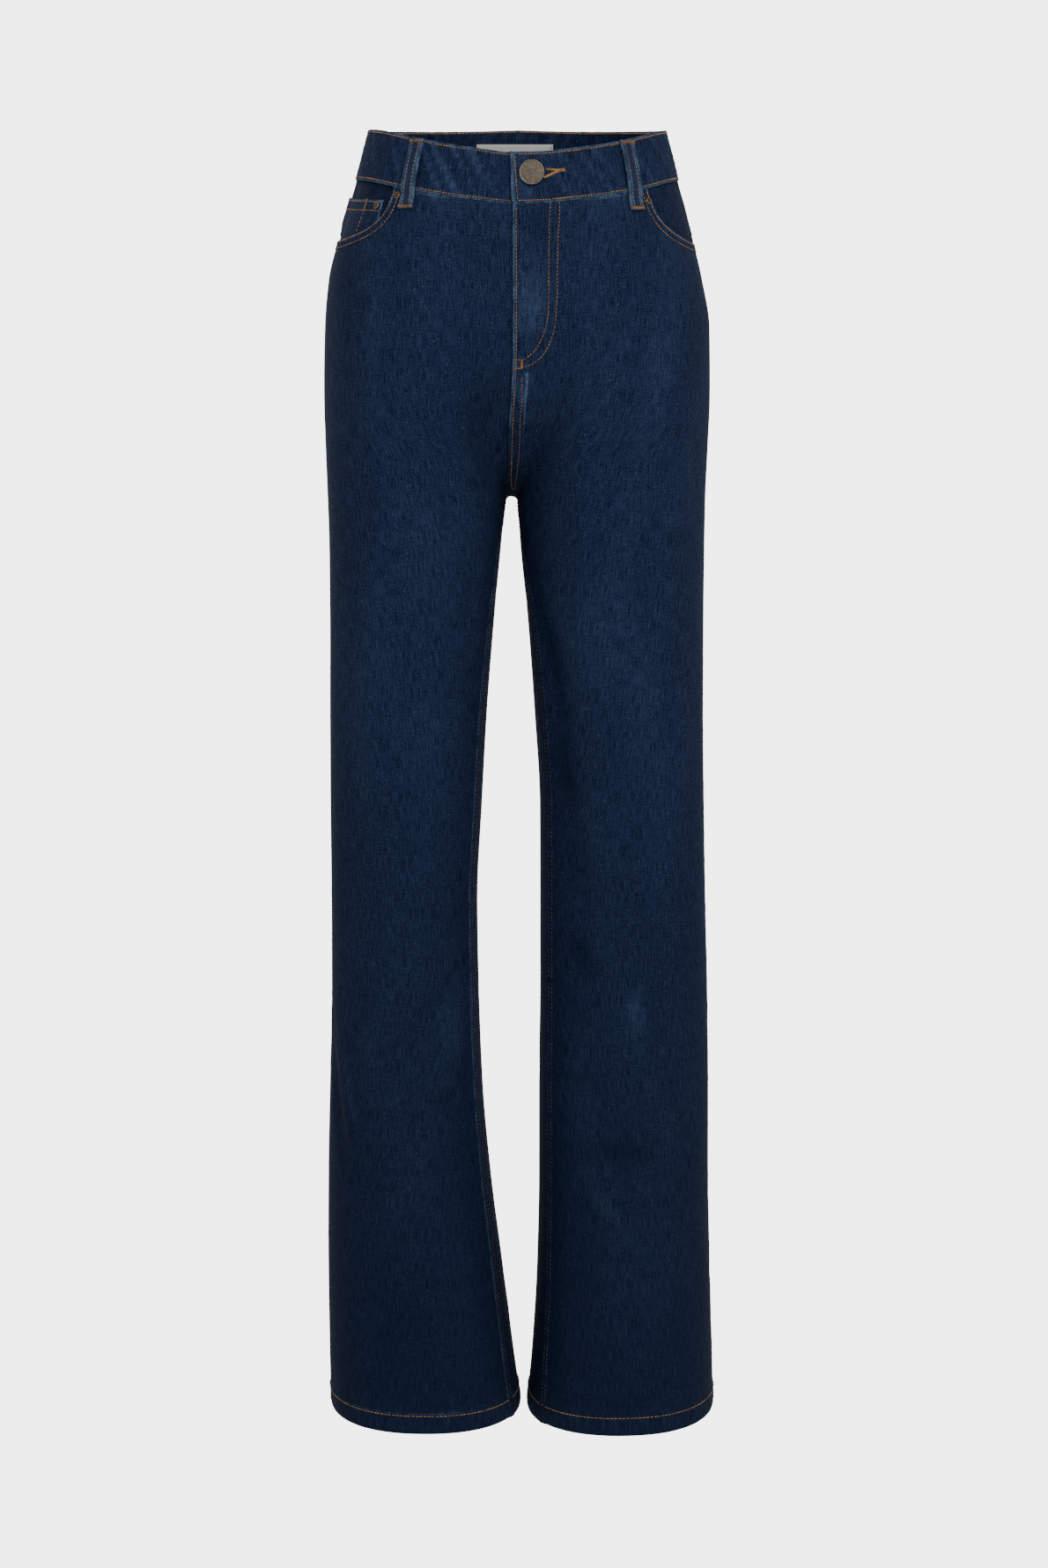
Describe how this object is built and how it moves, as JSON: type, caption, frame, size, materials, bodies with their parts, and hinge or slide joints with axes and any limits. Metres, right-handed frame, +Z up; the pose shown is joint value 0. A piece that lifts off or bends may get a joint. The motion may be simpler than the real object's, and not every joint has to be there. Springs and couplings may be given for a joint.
{
  "type": "flared jeans",
  "caption": "High-waisted five-pocket denim jeans with flared legs, hollow and filled out as worn, with a buttoned waistband, belt loops and open hems.",
  "frame": {"origin": "middle of the waist opening, level with the band's top edge at the sides, where the wearer's waist holds the garment", "axes": "+Z up through the waist opening, the front faces -Y, and the wearer's left is +X"},
  "size_m": [0.3341, 0.2607, 1.0956],
  "materials": {
    "denim": "dark indigo cotton twill with a faint pale slub, lighter where it is rubbed at seams and edges, orange-brown thread",
    "denim_band": "the same indigo twill, doubled, with slightly paler edges",
    "button_metal": "dull antique brass with a thin paler rim",
    "rivet_metal": "dull antique copper brass",
    "label_tape": "pale grey woven tape, blank"
  },
  "bodies": {
    "root": {"front_right": "denim", "front_left": "denim", "back_right": "denim", "back_left": "denim", "yoke_right": "denim", "yoke_left": "denim", "facing_right": "denim", "facing_left": "denim", "coin_pocket": "denim", "pocket_right": "denim", "pocket_left": "denim", "waistband": "denim_band", "loop_front_right": "denim_band", "loop_front_left": "denim_band", "loop_side_right": "denim_band", "loop_side_left": "denim_band", "loop_back": "denim_band", "button": "button_metal", "rivet_right": "rivet_metal", "rivet_left": "rivet_metal", "rivet_coin": "rivet_metal", "label": "label_tape"}
  },
  "joints": []
}
